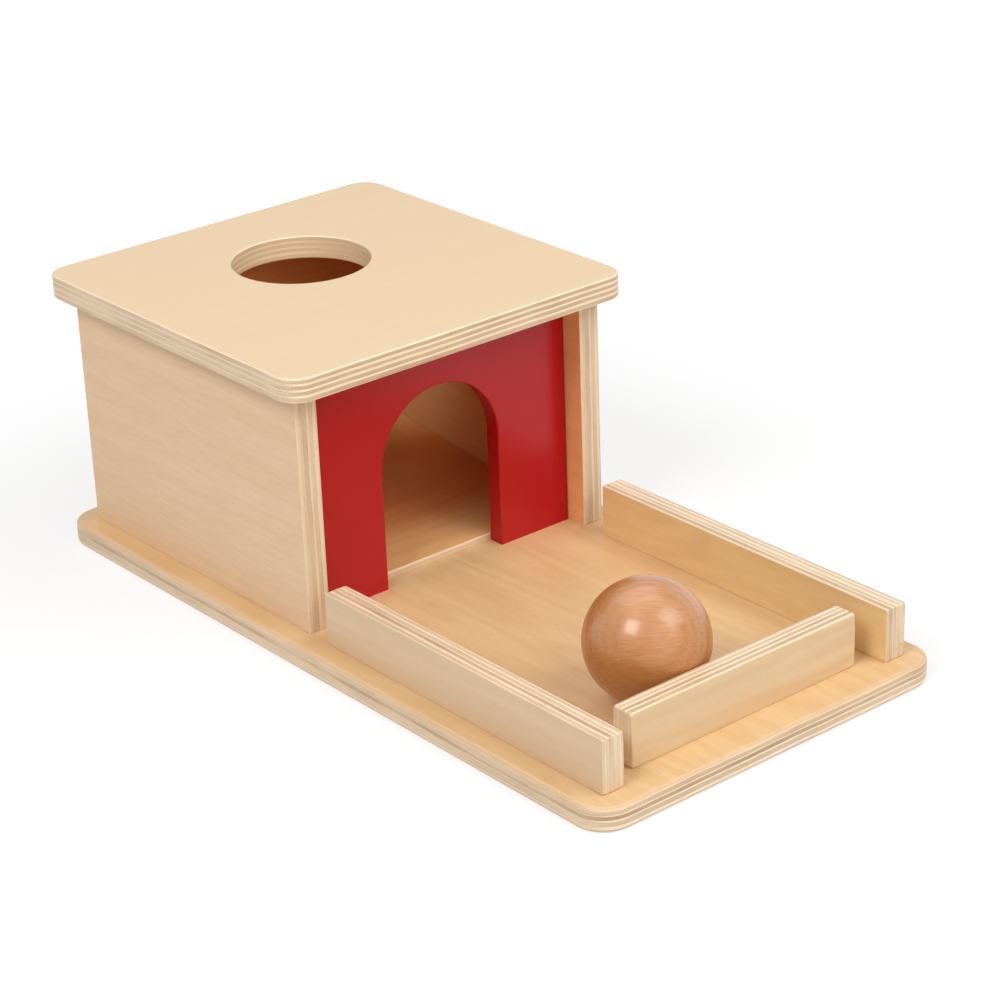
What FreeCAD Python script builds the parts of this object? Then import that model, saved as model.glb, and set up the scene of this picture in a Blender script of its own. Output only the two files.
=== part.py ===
import FreeCAD, Part
import os

# Object permanence box: a plywood box with a ball hole in its lid and a painted arch
# in its front, on a base board that runs on as a railed tray, with its beech ball.
#
# Sizes are in millimetres. +Z is up and the origin lies under the middle of the base
# board, on the face that it stands on. Y runs along the object: the box is at +Y and
# the tray at -Y. X runs across it, so left is -X for a child who faces the arch.

Vector = FreeCAD.Vector

# Base board, of plywood. Its length follows from what stands on it.
BASE_THICKNESS = 10.0
BASE_SIDE_MARGIN = 10.0       # base board showing beside the box and the side rails
BASE_REAR_MARGIN = 10.5       # base board showing behind the box
BASE_FRONT_MARGIN = 9.8       # base board showing in front of the side rails
BASE_CORNER_RADIUS = 13.0
BASE_EDGE_ROUND = 2.0

# Box
BOX_WIDTH = 152.0             # over both side walls
BOX_DEPTH = 151.0             # along Y, over the side walls
WALL_HEIGHT = 100.0
WALL_THICKNESS = 10.0
BACK_THICKNESS = 10.0
BACK_SIDE_GAP = 0.1           # on each side of the back, inside the side walls
EDGE_EASE = 0.4               # rounding that sanding leaves on every sawn edge

# Lid
LID_THICKNESS = 10.0
LID_SIDE_OVERHANG = 8.0
LID_FRONT_OVERHANG = 10.0
LID_REAR_OVERHANG = 10.5
LID_CORNER_RADIUS = 10.0
LID_EDGE_ROUND = 1.0
HOLE_PLAY = 9.5               # how much wider the lid's hole is than the ball
HOLE_REAR_DISTANCE = 64.5     # from the lid's rear edge to the hole's centre
HOLE_EDGE_ROUND = 0.8

# Arch panel, painted, between the side walls
PANEL_THICKNESS = 7.5
PANEL_SETBACK = 9.7           # behind the side walls' front edges
PANEL_SIDE_GAP = 0.2
PANEL_EDGE_EASE = 0.5
ARCH_PLAY = 11.0              # how much wider the arch is than the ball
ARCH_HEADER = 20.5            # panel left above the arch

# Ramp inside the box, and what carries it
RAMP_THICKNESS = 3.0          # measured upright
RAMP_RISE = 14.0              # from its front edge to its rear edge
RAMP_GAP = 0.3                # to the walls, the arch panel and the back
RAMP_EDGE_EASE = 0.3
WEDGE_WIDTH = 12.0
WEDGE_TOE = 1.0               # height of a wedge's blunt front end
CLEAT_DEPTH = 12.0

# Tray rails
RAIL_LENGTH = 158.0
RAIL_HEIGHT = 22.0
RAIL_THICKNESS = 10.0
RAIL_BOX_GAP = 11.6           # between a side rail and the side wall behind it
END_RAIL_HEIGHT = 22.0
END_RAIL_THICKNESS = 10.0
END_RAIL_FRONT_MARGIN = 16.4  # base board showing in front of the end rail
END_RAIL_SIDE_GAP = 9.8       # between the end rail's ends and the side rails

# Ball
BALL_DIAMETER = 48.0
BALL_SIDE_OFFSET = -17.2      # where the ball lies, from the tray's middle line
BALL_CLEARANCE = 0.3          # to the tray's floor and to the end rail

# Countersunk wood screws, driven up through the base board
SCREW_DIAMETER = 3.0
SCREW_HEAD_DIAMETER = 6.0
SCREW_HEAD_RIM = 0.3          # straight rim of the head
SCREW_SINK = 0.5              # head's depth below the underside
SCREW_TIP = 4.0               # length of the point
WALL_SCREW_BITE = 15.0        # screw length above the base board, in the box
RAIL_SCREW_COVER = 7.0        # wood left above a screw's point in a rail
SCREW_FIT = 0.05              # radial clearance of every screw hole
RECESS_SPAN = 3.4             # cross recess, tip to tip
RECESS_WIDTH = 0.9
RECESS_DEPTH = 1.3
WALL_SCREW_COUNT = 3
BACK_SCREW_COUNT = 2
RAIL_SCREW_COUNT = 3
END_RAIL_SCREW_COUNT = 2
WALL_SCREW_INSET = 18.0       # from a wall's end to its nearest screw
BACK_SCREW_INSET = 26.0
RAIL_SCREW_INSET = 16.0
END_RAIL_SCREW_INSET = 20.0

# Beech dowels: thick ones join the lid to the walls, thin ones hold the arch panel
WALL_DOWEL_DIAMETER = 6.0
PANEL_DOWEL_DIAMETER = 4.0
DOWEL_COVER = 3.0             # wood left between a dowel hole and the board's far face
DOWEL_REACH = 13.0            # depth of a dowel hole in an upright board
DOWEL_FIT = 0.05              # radial clearance of every dowel hole
DOWEL_END_GAP = 0.25          # at each end of a dowel
DOWEL_END_CHAMFER = 0.5
WALL_DOWEL_COUNT = 3
BACK_DOWEL_COUNT = 2
WALL_DOWEL_INSET = 24.0       # from a wall's end to its nearest dowel
BACK_DOWEL_INSET = 30.0

# Places that follow from the sizes
base_width = BOX_WIDTH + 2 * BASE_SIDE_MARGIN
base_length = BASE_FRONT_MARGIN + RAIL_LENGTH + RAIL_BOX_GAP + BOX_DEPTH + BASE_REAR_MARGIN
base_front_y = -base_length / 2
base_rear_y = base_length / 2
floor_z = BASE_THICKNESS

box_rear_y = base_rear_y - BASE_REAR_MARGIN
box_front_y = box_rear_y - BOX_DEPTH
wall_outer_x = BOX_WIDTH / 2
wall_inner_x = wall_outer_x - WALL_THICKNESS
wall_middle_x = wall_outer_x - WALL_THICKNESS / 2
wall_top_z = floor_z + WALL_HEIGHT
back_front_y = box_rear_y - BACK_THICKNESS
back_middle_y = box_rear_y - BACK_THICKNESS / 2
back_half_width = wall_inner_x - BACK_SIDE_GAP

lid_front_y = box_front_y - LID_FRONT_OVERHANG
lid_rear_y = box_rear_y + LID_REAR_OVERHANG
lid_width = BOX_WIDTH + 2 * LID_SIDE_OVERHANG
hole_y = lid_rear_y - HOLE_REAR_DISTANCE
hole_radius = (BALL_DIAMETER + HOLE_PLAY) / 2

panel_front_y = box_front_y + PANEL_SETBACK
panel_rear_y = panel_front_y + PANEL_THICKNESS
panel_middle_y = panel_front_y + PANEL_THICKNESS / 2
panel_half_width = wall_inner_x - PANEL_SIDE_GAP
arch_radius = (BALL_DIAMETER + ARCH_PLAY) / 2
arch_spring_z = wall_top_z - ARCH_HEADER - arch_radius
panel_leg_x = (arch_radius + panel_half_width) / 2

ramp_front_y = panel_rear_y + RAMP_GAP
ramp_rear_y = back_front_y - RAMP_GAP
ramp_slope = RAMP_RISE / (ramp_rear_y - ramp_front_y)
ramp_half_width = wall_inner_x - RAMP_GAP

rail_rear_y = box_front_y - RAIL_BOX_GAP
rail_front_y = rail_rear_y - RAIL_LENGTH
rail_inner_x = wall_outer_x - RAIL_THICKNESS
rail_middle_x = wall_outer_x - RAIL_THICKNESS / 2
end_rail_front_y = base_front_y + END_RAIL_FRONT_MARGIN
end_rail_rear_y = end_rail_front_y + END_RAIL_THICKNESS
end_rail_middle_y = end_rail_front_y + END_RAIL_THICKNESS / 2
end_rail_half_length = rail_inner_x - END_RAIL_SIDE_GAP

ball_radius = BALL_DIAMETER / 2
ball_centre = Vector(
    BALL_SIDE_OFFSET,
    end_rail_rear_y + BALL_CLEARANCE + ball_radius,
    floor_z + BALL_CLEARANCE + ball_radius,
)

SIDES = {"left": -1, "right": 1}


def spread(start, end, inset, count):
    """Evenly spaced places from start to end, the outer two inset from the ends."""
    step = (end - start - 2 * inset) / (count - 1)
    return [start + inset + step * index for index in range(count)]


def span_x(side, near, far):
    """The lowest and highest X of something between two distances on one side."""
    return sorted((side * near, side * far))


def eased_board(x_span, y_span, z_span, ease=EDGE_EASE):
    """A sawn board between two X, two Y and two Z values, its edges eased."""
    board = Part.makeBox(
        x_span[1] - x_span[0],
        y_span[1] - y_span[0],
        z_span[1] - z_span[0],
        Vector(x_span[0], y_span[0], z_span[0]),
    )
    return board.makeFillet(ease, board.Edges)


def rounded_board(width, y_span, z_span, corner_radius, edge_round):
    """A flat board with round corners and rounded upper and lower edges."""
    thickness = z_span[1] - z_span[0]
    corner = Vector(-width / 2, y_span[0], z_span[0])
    board = Part.makeBox(width, y_span[1] - y_span[0], thickness, corner)
    upright = [edge for edge in board.Edges if edge.BoundBox.ZLength > thickness / 2]
    board = board.makeFillet(corner_radius, upright)
    level = [edge for edge in board.Edges if edge.BoundBox.ZLength < thickness / 2]
    return board.makeFillet(edge_round, level)


def extruded_profile(x_span, yz_points):
    """A solid whose outline in the YZ plane is given, drawn out along X."""
    points = [Vector(x_span[0], y, z) for y, z in yz_points]
    face = Part.Face(Part.makePolygon(points + points[:1]))
    return face.extrude(Vector(x_span[1] - x_span[0], 0, 0))


def turned_profile(x, y, rz_points):
    """A solid of revolution about the upright line through x and y."""
    points = [Vector(x + radius, y, z) for radius, z in rz_points]
    face = Part.Face(Part.makePolygon(points + points[:1]))
    return face.revolve(Vector(x, y, 0), Vector(0, 0, 1), 360)


def screw_profile(bite, fit):
    """Half section of a countersunk screw from its head up, or of its hole with a fit."""
    shank = SCREW_DIAMETER / 2
    head = SCREW_HEAD_DIAMETER / 2
    cone_start = SCREW_SINK + SCREW_HEAD_RIM
    cone_end = cone_start + head - shank
    end = BASE_THICKNESS + bite
    start = -fit if fit else SCREW_SINK
    return [
        (0, start),
        (head + fit, start),
        (head + fit, cone_start),
        (shank + fit, cone_end),
        (shank + fit, end - SCREW_TIP),
        (0, end + fit),
    ]


def screw(x, y, bite):
    """A countersunk screw with a cross recess, standing on its head at x and y."""
    body = turned_profile(x, y, screw_profile(bite, 0))
    for length, width in ((RECESS_SPAN, RECESS_WIDTH), (RECESS_WIDTH, RECESS_SPAN)):
        corner = Vector(x - length / 2, y - width / 2, SCREW_SINK)
        body = body.cut(Part.makeBox(length, width, RECESS_DEPTH, corner))
    return body


def screw_hole(x, y, bite):
    """The space that a screw takes in the boards that it joins."""
    return turned_profile(x, y, screw_profile(bite, SCREW_FIT))


def dowel(x, y, low_z, high_z, diameter):
    """An upright dowel with chamfered ends, in a hole from low_z to high_z."""
    length = high_z - low_z - 2 * DOWEL_END_GAP
    rod = Part.makeCylinder(diameter / 2, length, Vector(x, y, low_z + DOWEL_END_GAP))
    rims = [edge for edge in rod.Edges if edge.BoundBox.ZLength < length / 2]
    return rod.makeChamfer(DOWEL_END_CHAMFER, rims)


def dowel_hole(x, y, low_z, high_z, diameter):
    """The hole that a dowel fills, in both boards that it joins."""
    radius = diameter / 2 + DOWEL_FIT
    return Part.makeCylinder(radius, high_z - low_z, Vector(x, y, low_z))


# Fasteners. Each group's node name leads to where its screws or dowels stand, and
# one entry serves for the fastener and for its holes, so that they always agree.
wall_screw_rows = spread(box_front_y, box_rear_y, WALL_SCREW_INSET, WALL_SCREW_COUNT)
rail_screw_rows = spread(rail_front_y, rail_rear_y, RAIL_SCREW_INSET, RAIL_SCREW_COUNT)
wall_dowel_rows = spread(box_front_y, box_rear_y, WALL_DOWEL_INSET, WALL_DOWEL_COUNT)
rail_screw_bite = RAIL_HEIGHT - RAIL_SCREW_COVER
end_rail_screw_bite = END_RAIL_HEIGHT - RAIL_SCREW_COVER
lid_dowel_span = (wall_top_z - DOWEL_REACH, wall_top_z + LID_THICKNESS - DOWEL_COVER)
foot_dowel_span = (DOWEL_COVER, floor_z + DOWEL_REACH)

screw_groups = {
    "back_screws": [
        (x, back_middle_y, WALL_SCREW_BITE)
        for x in spread(-back_half_width, back_half_width, BACK_SCREW_INSET, BACK_SCREW_COUNT)
    ],
    "end_rail_screws": [
        (x, end_rail_middle_y, end_rail_screw_bite)
        for x in spread(
            -end_rail_half_length, end_rail_half_length, END_RAIL_SCREW_INSET, END_RAIL_SCREW_COUNT
        )
    ],
}
dowel_groups = {
    "lid_dowels_back": [
        (x, back_middle_y, *lid_dowel_span, WALL_DOWEL_DIAMETER)
        for x in spread(-back_half_width, back_half_width, BACK_DOWEL_INSET, BACK_DOWEL_COUNT)
    ],
    "lid_dowels_panel": [
        (side * panel_leg_x, panel_middle_y, *lid_dowel_span, PANEL_DOWEL_DIAMETER)
        for side in SIDES.values()
    ],
    "panel_foot_dowels": [
        (side * panel_leg_x, panel_middle_y, *foot_dowel_span, PANEL_DOWEL_DIAMETER)
        for side in SIDES.values()
    ],
}
for side_name, side in SIDES.items():
    screw_groups["side_screws_" + side_name] = [
        (side * wall_middle_x, y, WALL_SCREW_BITE) for y in wall_screw_rows
    ]
    screw_groups["rail_screws_" + side_name] = [
        (side * rail_middle_x, y, rail_screw_bite) for y in rail_screw_rows
    ]
    dowel_groups["lid_dowels_" + side_name] = [
        (side * wall_middle_x, y, *lid_dowel_span, WALL_DOWEL_DIAMETER) for y in wall_dowel_rows
    ]


def drilled(board, *group_names):
    """A board with the holes of the named fastener groups."""
    holes = []
    for name in group_names:
        holes += [screw_hole(*place) for place in screw_groups.get(name, [])]
        holes += [dowel_hole(*place) for place in dowel_groups.get(name, [])]
    return board.cut(holes)


def make_base_board():
    """The base board, with every screw's countersink and the panel's dowel holes."""
    board = rounded_board(
        base_width,
        (base_front_y, base_rear_y),
        (0, BASE_THICKNESS),
        BASE_CORNER_RADIUS,
        BASE_EDGE_ROUND,
    )
    return drilled(board, "panel_foot_dowels", *screw_groups)


def make_box_side(side_name):
    """One side wall of the box."""
    wall = eased_board(
        span_x(SIDES[side_name], wall_inner_x, wall_outer_x),
        (box_front_y, box_rear_y),
        (floor_z, wall_top_z),
    )
    return drilled(wall, "side_screws_" + side_name, "lid_dowels_" + side_name)


def make_box_back():
    """The back of the box, between the side walls and flush with their rear edges."""
    back = eased_board(
        (-back_half_width, back_half_width),
        (back_front_y, box_rear_y),
        (floor_z, wall_top_z),
    )
    return drilled(back, "back_screws", "lid_dowels_back")


def make_box_lid():
    """The lid, with the round hole that the ball drops through."""
    lid = rounded_board(
        lid_width,
        (lid_front_y, lid_rear_y),
        (wall_top_z, wall_top_z + LID_THICKNESS),
        LID_CORNER_RADIUS,
        LID_EDGE_ROUND,
    )
    lid = lid.cut(Part.makeCylinder(hole_radius, LID_THICKNESS, Vector(0, hole_y, wall_top_z)))
    rims = [edge for edge in lid.Edges if is_hole_rim(edge)]
    lid = lid.makeFillet(HOLE_EDGE_ROUND, rims)
    return drilled(lid, *[name for name in dowel_groups if name.startswith("lid_dowels")])


def is_hole_rim(edge):
    """Whether an edge is one of the two full circles round the lid's hole."""
    return isinstance(edge.Curve, Part.Circle) and abs(edge.Curve.Center.y - hole_y) < hole_radius


def make_arch_panel():
    """The front panel, cut out to a doorway with a half-round top."""
    arch = Part.Arc(
        Vector(-arch_radius, panel_front_y, arch_spring_z),
        Vector(0, panel_front_y, arch_spring_z + arch_radius),
        Vector(arch_radius, panel_front_y, arch_spring_z),
    ).toShape()
    outline = [
        (arch_radius, arch_spring_z),
        (arch_radius, floor_z),
        (panel_half_width, floor_z),
        (panel_half_width, wall_top_z),
        (-panel_half_width, wall_top_z),
        (-panel_half_width, floor_z),
        (-arch_radius, floor_z),
        (-arch_radius, arch_spring_z),
    ]
    points = [Vector(x, panel_front_y, z) for x, z in outline]
    sides = [Part.makeLine(start, end) for start, end in zip(points, points[1:])]
    panel = Part.Face(Part.Wire([arch] + sides)).extrude(Vector(0, PANEL_THICKNESS, 0))
    faces_edges = [edge for edge in panel.Edges if edge.BoundBox.YLength < PANEL_THICKNESS / 2]
    panel = panel.makeFillet(PANEL_EDGE_EASE, faces_edges)
    return drilled(panel, "panel_foot_dowels", "lid_dowels_panel")


def ramp_underside(y):
    """Height of the ramp's underside at a place along the box."""
    return floor_z + ramp_slope * (y - ramp_front_y)


def make_ramp_board():
    """The thin board that sends the ball forward, its ends cut upright."""
    ramp = extruded_profile(
        (-ramp_half_width, ramp_half_width),
        [
            (ramp_front_y, floor_z),
            (ramp_rear_y, ramp_underside(ramp_rear_y)),
            (ramp_rear_y, ramp_underside(ramp_rear_y) + RAMP_THICKNESS),
            (ramp_front_y, floor_z + RAMP_THICKNESS),
        ],
    )
    upper = [edge for edge in ramp.Edges if edge.BoundBox.ZMin > floor_z + RAMP_THICKNESS / 2]
    front = [edge for edge in upper if edge.BoundBox.YMax < ramp_rear_y - RAMP_THICKNESS]
    return ramp.makeFillet(RAMP_EDGE_EASE, front)


def make_ramp_wedge(side_name):
    """A wedge along one side wall, under the ramp."""
    toe_y = ramp_front_y + WEDGE_TOE / ramp_slope
    return extruded_profile(
        span_x(SIDES[side_name], wall_inner_x - WEDGE_WIDTH, wall_inner_x),
        [
            (toe_y, floor_z),
            (back_front_y, floor_z),
            (back_front_y, ramp_underside(back_front_y)),
            (toe_y, ramp_underside(toe_y)),
        ],
    )


def make_ramp_rear_cleat():
    """The strip along the back of the box that carries the ramp's rear edge."""
    cleat_front_y = back_front_y - CLEAT_DEPTH
    half_length = wall_inner_x - WEDGE_WIDTH
    return extruded_profile(
        (-half_length, half_length),
        [
            (cleat_front_y, floor_z),
            (back_front_y, floor_z),
            (back_front_y, ramp_underside(back_front_y)),
            (cleat_front_y, ramp_underside(cleat_front_y)),
        ],
    )


def make_side_rail(side_name):
    """One side rail of the tray, in line with the side wall behind it."""
    rail = eased_board(
        span_x(SIDES[side_name], rail_inner_x, wall_outer_x),
        (rail_front_y, rail_rear_y),
        (floor_z, floor_z + RAIL_HEIGHT),
    )
    return drilled(rail, "rail_screws_" + side_name)


def make_end_rail():
    """The short rail that stops the ball at the tray's open end."""
    rail = eased_board(
        (-end_rail_half_length, end_rail_half_length),
        (end_rail_front_y, end_rail_rear_y),
        (floor_z, floor_z + END_RAIL_HEIGHT),
    )
    return drilled(rail, "end_rail_screws")


def make_parts():
    """Every node's name with its shape."""
    parts = {
        "base_board": make_base_board(),
        "box_back": make_box_back(),
        "box_lid": make_box_lid(),
        "arch_panel": make_arch_panel(),
        "ramp_board": make_ramp_board(),
        "ramp_rear_cleat": make_ramp_rear_cleat(),
        "end_rail": make_end_rail(),
        "ball": Part.makeSphere(ball_radius, ball_centre),
    }
    for side_name in SIDES:
        parts["box_side_" + side_name] = make_box_side(side_name)
        parts["ramp_wedge_" + side_name] = make_ramp_wedge(side_name)
        parts["side_rail_" + side_name] = make_side_rail(side_name)
    for name, places in screw_groups.items():
        parts[name] = Part.makeCompound([screw(*place) for place in places])
    for name, places in dowel_groups.items():
        parts[name] = Part.makeCompound([dowel(*place) for place in places])
    return parts


os.makedirs("parts", exist_ok=True)
for node, shape in make_parts().items():
    shape.exportStep("parts/" + node + ".step")
    print(node, len(shape.Solids), "solids", round(shape.Volume / 1000, 2), "cm3", shape.isValid())
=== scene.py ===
"""Looks of an object permanence box: plywood box, railed tray, painted arch and beech ball.

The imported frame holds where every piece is. This script gives the boards their sanded
edges and their plywood, paint, beech and plated steel, and sets up a plain studio.
Lengths are in metres, as in the frame, and names that end in _mm are in millimetres.
"""

import logging
import math
from collections.abc import Callable
from dataclasses import dataclass, field
from enum import Enum

import bmesh
import bpy
import numpy as np
from bpy.types import Material, NodeSocket, NodeTree, Object
from mathutils import Euler, Matrix, Vector


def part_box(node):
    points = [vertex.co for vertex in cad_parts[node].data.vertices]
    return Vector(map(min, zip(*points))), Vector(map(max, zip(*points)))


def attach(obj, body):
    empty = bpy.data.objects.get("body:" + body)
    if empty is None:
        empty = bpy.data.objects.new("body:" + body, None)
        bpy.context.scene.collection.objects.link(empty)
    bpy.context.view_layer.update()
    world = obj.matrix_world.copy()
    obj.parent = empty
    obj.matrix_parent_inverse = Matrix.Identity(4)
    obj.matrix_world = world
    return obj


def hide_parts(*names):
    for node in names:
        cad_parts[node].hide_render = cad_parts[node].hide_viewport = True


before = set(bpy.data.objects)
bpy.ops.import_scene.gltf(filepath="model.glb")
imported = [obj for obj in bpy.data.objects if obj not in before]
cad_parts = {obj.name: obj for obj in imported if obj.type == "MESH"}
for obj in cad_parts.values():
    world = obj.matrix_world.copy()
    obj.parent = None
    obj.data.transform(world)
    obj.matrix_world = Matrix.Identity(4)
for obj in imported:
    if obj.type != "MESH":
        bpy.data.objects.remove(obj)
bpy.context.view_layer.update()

log = logging.getLogger("permanence_box")

MM = 0.001
BOX_BODY = "box"
BALL_BODY = "ball"
PICTURE_SIDE = 1000.0         # pixels, both ways
ROUTED = "routed"             # mesh attribute: 1 on the wall of a routed hole
SHARP_ANGLE = math.radians(50)
WELD_DISTANCE = 1e-7          # metres
WAVE_RUN = (1.0, 0.83, 0.71)  # how fast a wander runs on along X, Y and Z
WAVE_LENGTHS = (1.0, 0.618, 0.382)
WAVE_PHASES = (1.0, 2.3, 3.7)
WANDER_LENGTH = 90 * MM       # over which a sanded edge's radius comes and goes
CORNER_REACH = 5.0            # how far a sanded corner reaches, in radii of the edge


class Axis(Enum):
    """One of the frame's axes, as an index into a vector."""

    X = 0
    Y = 1
    Z = 2


class Slot(Enum):
    """The record's finishes, by the names of their slots."""

    PLYWOOD = "birch_plywood"
    PAINT = "red_painted_plywood"
    BEECH = "beech"
    STEEL = "zinc_plated_steel"


def linear(colour: str) -> tuple[float, float, float, float]:
    """Turn an sRGB hex colour into linear RGBA, by the standard curve.

    Args:
        colour: Six hex digits after a hash.

    Returns:
        Linear red, green and blue with an alpha of 1.
    """
    channels = [int(colour[i : i + 2], 16) / 255 for i in (1, 3, 5)]
    red, green, blue = [
        c / 12.92 if c <= 0.04045 else ((c + 0.055) / 1.055) ** 2.4 for c in channels
    ]
    return red, green, blue, 1.0


def add(
    tree: NodeTree,
    kind: str,
    inputs: dict[int | str, object],
    stops: list[tuple[float, tuple[float, float, float, float]]] | None = None,
    **settings: object,
) -> NodeSocket | None:
    """Add a shader node with its settings, values and links.

    Args:
        tree: The node tree that gets the node.
        kind: The node's type without its ShaderNode prefix.
        inputs: A value, a hex colour or a socket to link for each input, by place or name.
        stops: Places and colours of a colour ramp.
        settings: Properties of the node itself.

    Returns:
        The node's first output in use. Its other outputs are reached through its node.
    """
    node = tree.nodes.new("ShaderNode" + kind)
    for name, value in settings.items():
        setattr(node, name, value)
    if stops:
        ramp = node.color_ramp
        while len(ramp.elements) < len(stops):
            ramp.elements.new(1.0)
        for element, (place, colour) in zip(ramp.elements, stops, strict=True):
            element.position = place
            element.color = colour
    live = [socket for socket in node.inputs if socket.enabled]
    for key, value in inputs.items():
        socket = live[key] if isinstance(key, int) else next(s for s in live if s.name == key)
        if isinstance(value, NodeSocket):
            tree.links.new(value, socket)
        else:
            socket.default_value = linear(value) if isinstance(value, str) else value
    return next((socket for socket in node.outputs if socket.enabled), None)


def stretched_noise(
    tree: NodeTree, place: NodeSocket, sizes: tuple[float, float, float], detail: float,
    roughness: float = 0.5,
) -> NodeSocket:
    """Make a noise whose lumps have a given size along each axis.

    Args:
        tree: The node tree that gets the noise.
        place: The coordinates that it is read at.
        sizes: Size of its lumps along each axis, in the units of the coordinates.
        detail: How many finer noises are laid over the first.
        roughness: How strong each finer noise is.

    Returns:
        The noise, from about 0 to 1.
    """
    scale = tuple(1 / size for size in sizes)
    scaled = add(tree, "VectorMath", {0: place, 1: scale}, operation="MULTIPLY")
    inputs = {"Vector": scaled, "Scale": 1.0, "Detail": detail, "Roughness": roughness}
    return add(tree, "TexNoise", inputs)


def new_material(name: str) -> Material:
    """Make an empty node material.

    Args:
        name: The material's name.

    Returns:
        The material, with no nodes in its tree.
    """
    material = bpy.data.materials.new(name)
    material.use_nodes = True
    material.node_tree.nodes.clear()
    return material


def dress(piece: Object, material: Material) -> None:
    """Put one material on the whole of a piece."""
    piece.data.materials.clear()
    piece.data.materials.append(material)


def dress_node(node: str, material: Material) -> None:
    """Put one material in every slot of a piece that the frame carries over.

    Args:
        node: The CAD node.
        material: What it is made of.
    """
    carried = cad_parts[node]
    for slot in carried.material_slots:
        slot.material = material
    if not carried.material_slots:
        carried.data.materials.append(material)
    log.info("%s: carried over, %s", node, material.name)


def wave(places: np.ndarray, length: float, phase: float) -> np.ndarray:
    """A smooth wander between -1 and 1 that doesn't repeat along a board.

    It is the mean of sines whose wavelengths stand to each other as WAVE_LENGTHS.

    Args:
        places: Points, with their coordinates in the last axis.
        length: The longest wavelength.
        phase: What sets one board's wander apart from another's.

    Returns:
        One value for each point.
    """
    turns = 2 * math.pi * (places @ np.array(WAVE_RUN)) / length
    pairs = zip(WAVE_LENGTHS, WAVE_PHASES, strict=True)
    return np.mean([np.sin(turns / share + times * phase) for share, times in pairs], axis=0)


def welded_piece(
    name: str, grids: list[np.ndarray], wraps: tuple[bool, bool] = (False, False)
) -> Object:
    """Join grids of points into one closed mesh.

    Each grid gives quads between neighbouring rows and columns. Points that lie on one
    another are welded, and the faces are then turned outwards.

    Args:
        name: The piece's name.
        grids: Arrays of rows by columns by three coordinates.
        wraps: Whether the last row meets the first, and the last column the first.

    Returns:
        The piece, linked to the scene.
    """
    points, quads, start = [], [], 0
    for grid in grids:
        rows, columns = grid.shape[:2]
        index = np.arange(rows * columns).reshape(rows, columns) + start
        if wraps[0]:
            index = np.vstack([index, index[:1]])
        if wraps[1]:
            index = np.hstack([index, index[:, :1]])
        corners = (index[:-1, :-1], index[1:, :-1], index[1:, 1:], index[:-1, 1:])
        quads.append(np.stack([corner.ravel() for corner in corners], axis=1))
        points.append(grid.reshape(-1, 3))
        start += rows * columns
    mesh = bpy.data.meshes.new(name)
    mesh.from_pydata(np.vstack(points).tolist(), [], np.vstack(quads).tolist())
    work = bmesh.new()
    work.from_mesh(mesh)
    bmesh.ops.remove_doubles(work, verts=work.verts, dist=WELD_DISTANCE)
    bmesh.ops.recalc_face_normals(work, faces=work.faces)
    work.to_mesh(mesh)
    work.free()
    mesh.shade_smooth()
    piece = bpy.data.objects.new(name, mesh)
    bpy.context.scene.collection.objects.link(piece)
    return piece


def seat(
    piece: Object, node: str, material: Material, body: str = BOX_BODY
) -> None:
    """Dress a piece and let it stand for a CAD node, on the same body.

    Args:
        piece: The piece.
        node: The CAD node that it replaces.
        material: What it is made of.
        body: The body that it rides on.
    """
    dress(piece, material)
    piece.data.set_sharp_from_angle(angle=SHARP_ANGLE)
    flat = piece.modifiers.new("flat_faces", "WEIGHTED_NORMAL")
    flat.keep_sharp = True
    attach(piece, body)
    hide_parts(node)
    log.info("%s: %d faces in place of %s", piece.name, len(piece.data.polygons), node)


def edge_steps(low: float, high: float, radius: float, bend: int, pitch: float) -> np.ndarray:
    """Places of the grid lines along one side of a rounded block.

    Lines lie at radius * tan(angle) inside each end, for even steps of the angle up to 45
    degrees, so that the rounding gets even facets. Between them they are a pitch apart.

    Args:
        low: Where the side starts.
        high: Where it ends.
        radius: Radius of the rounding at both ends.
        bend: Facets from an end to the middle of its rounding.
        pitch: The widest gap between lines on the flat.

    Returns:
        The places from low to high.
    """
    rise = radius * np.tan(np.linspace(math.pi / 4, 0, bend + 1))
    start, end = low + radius, high - radius
    count = max(1, math.ceil((end - start) / pitch))
    inner = np.linspace(start, end, count + 1)[1:-1]
    return np.unique(np.round(np.concatenate([start - rise, inner, end + rise]), 9))


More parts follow.
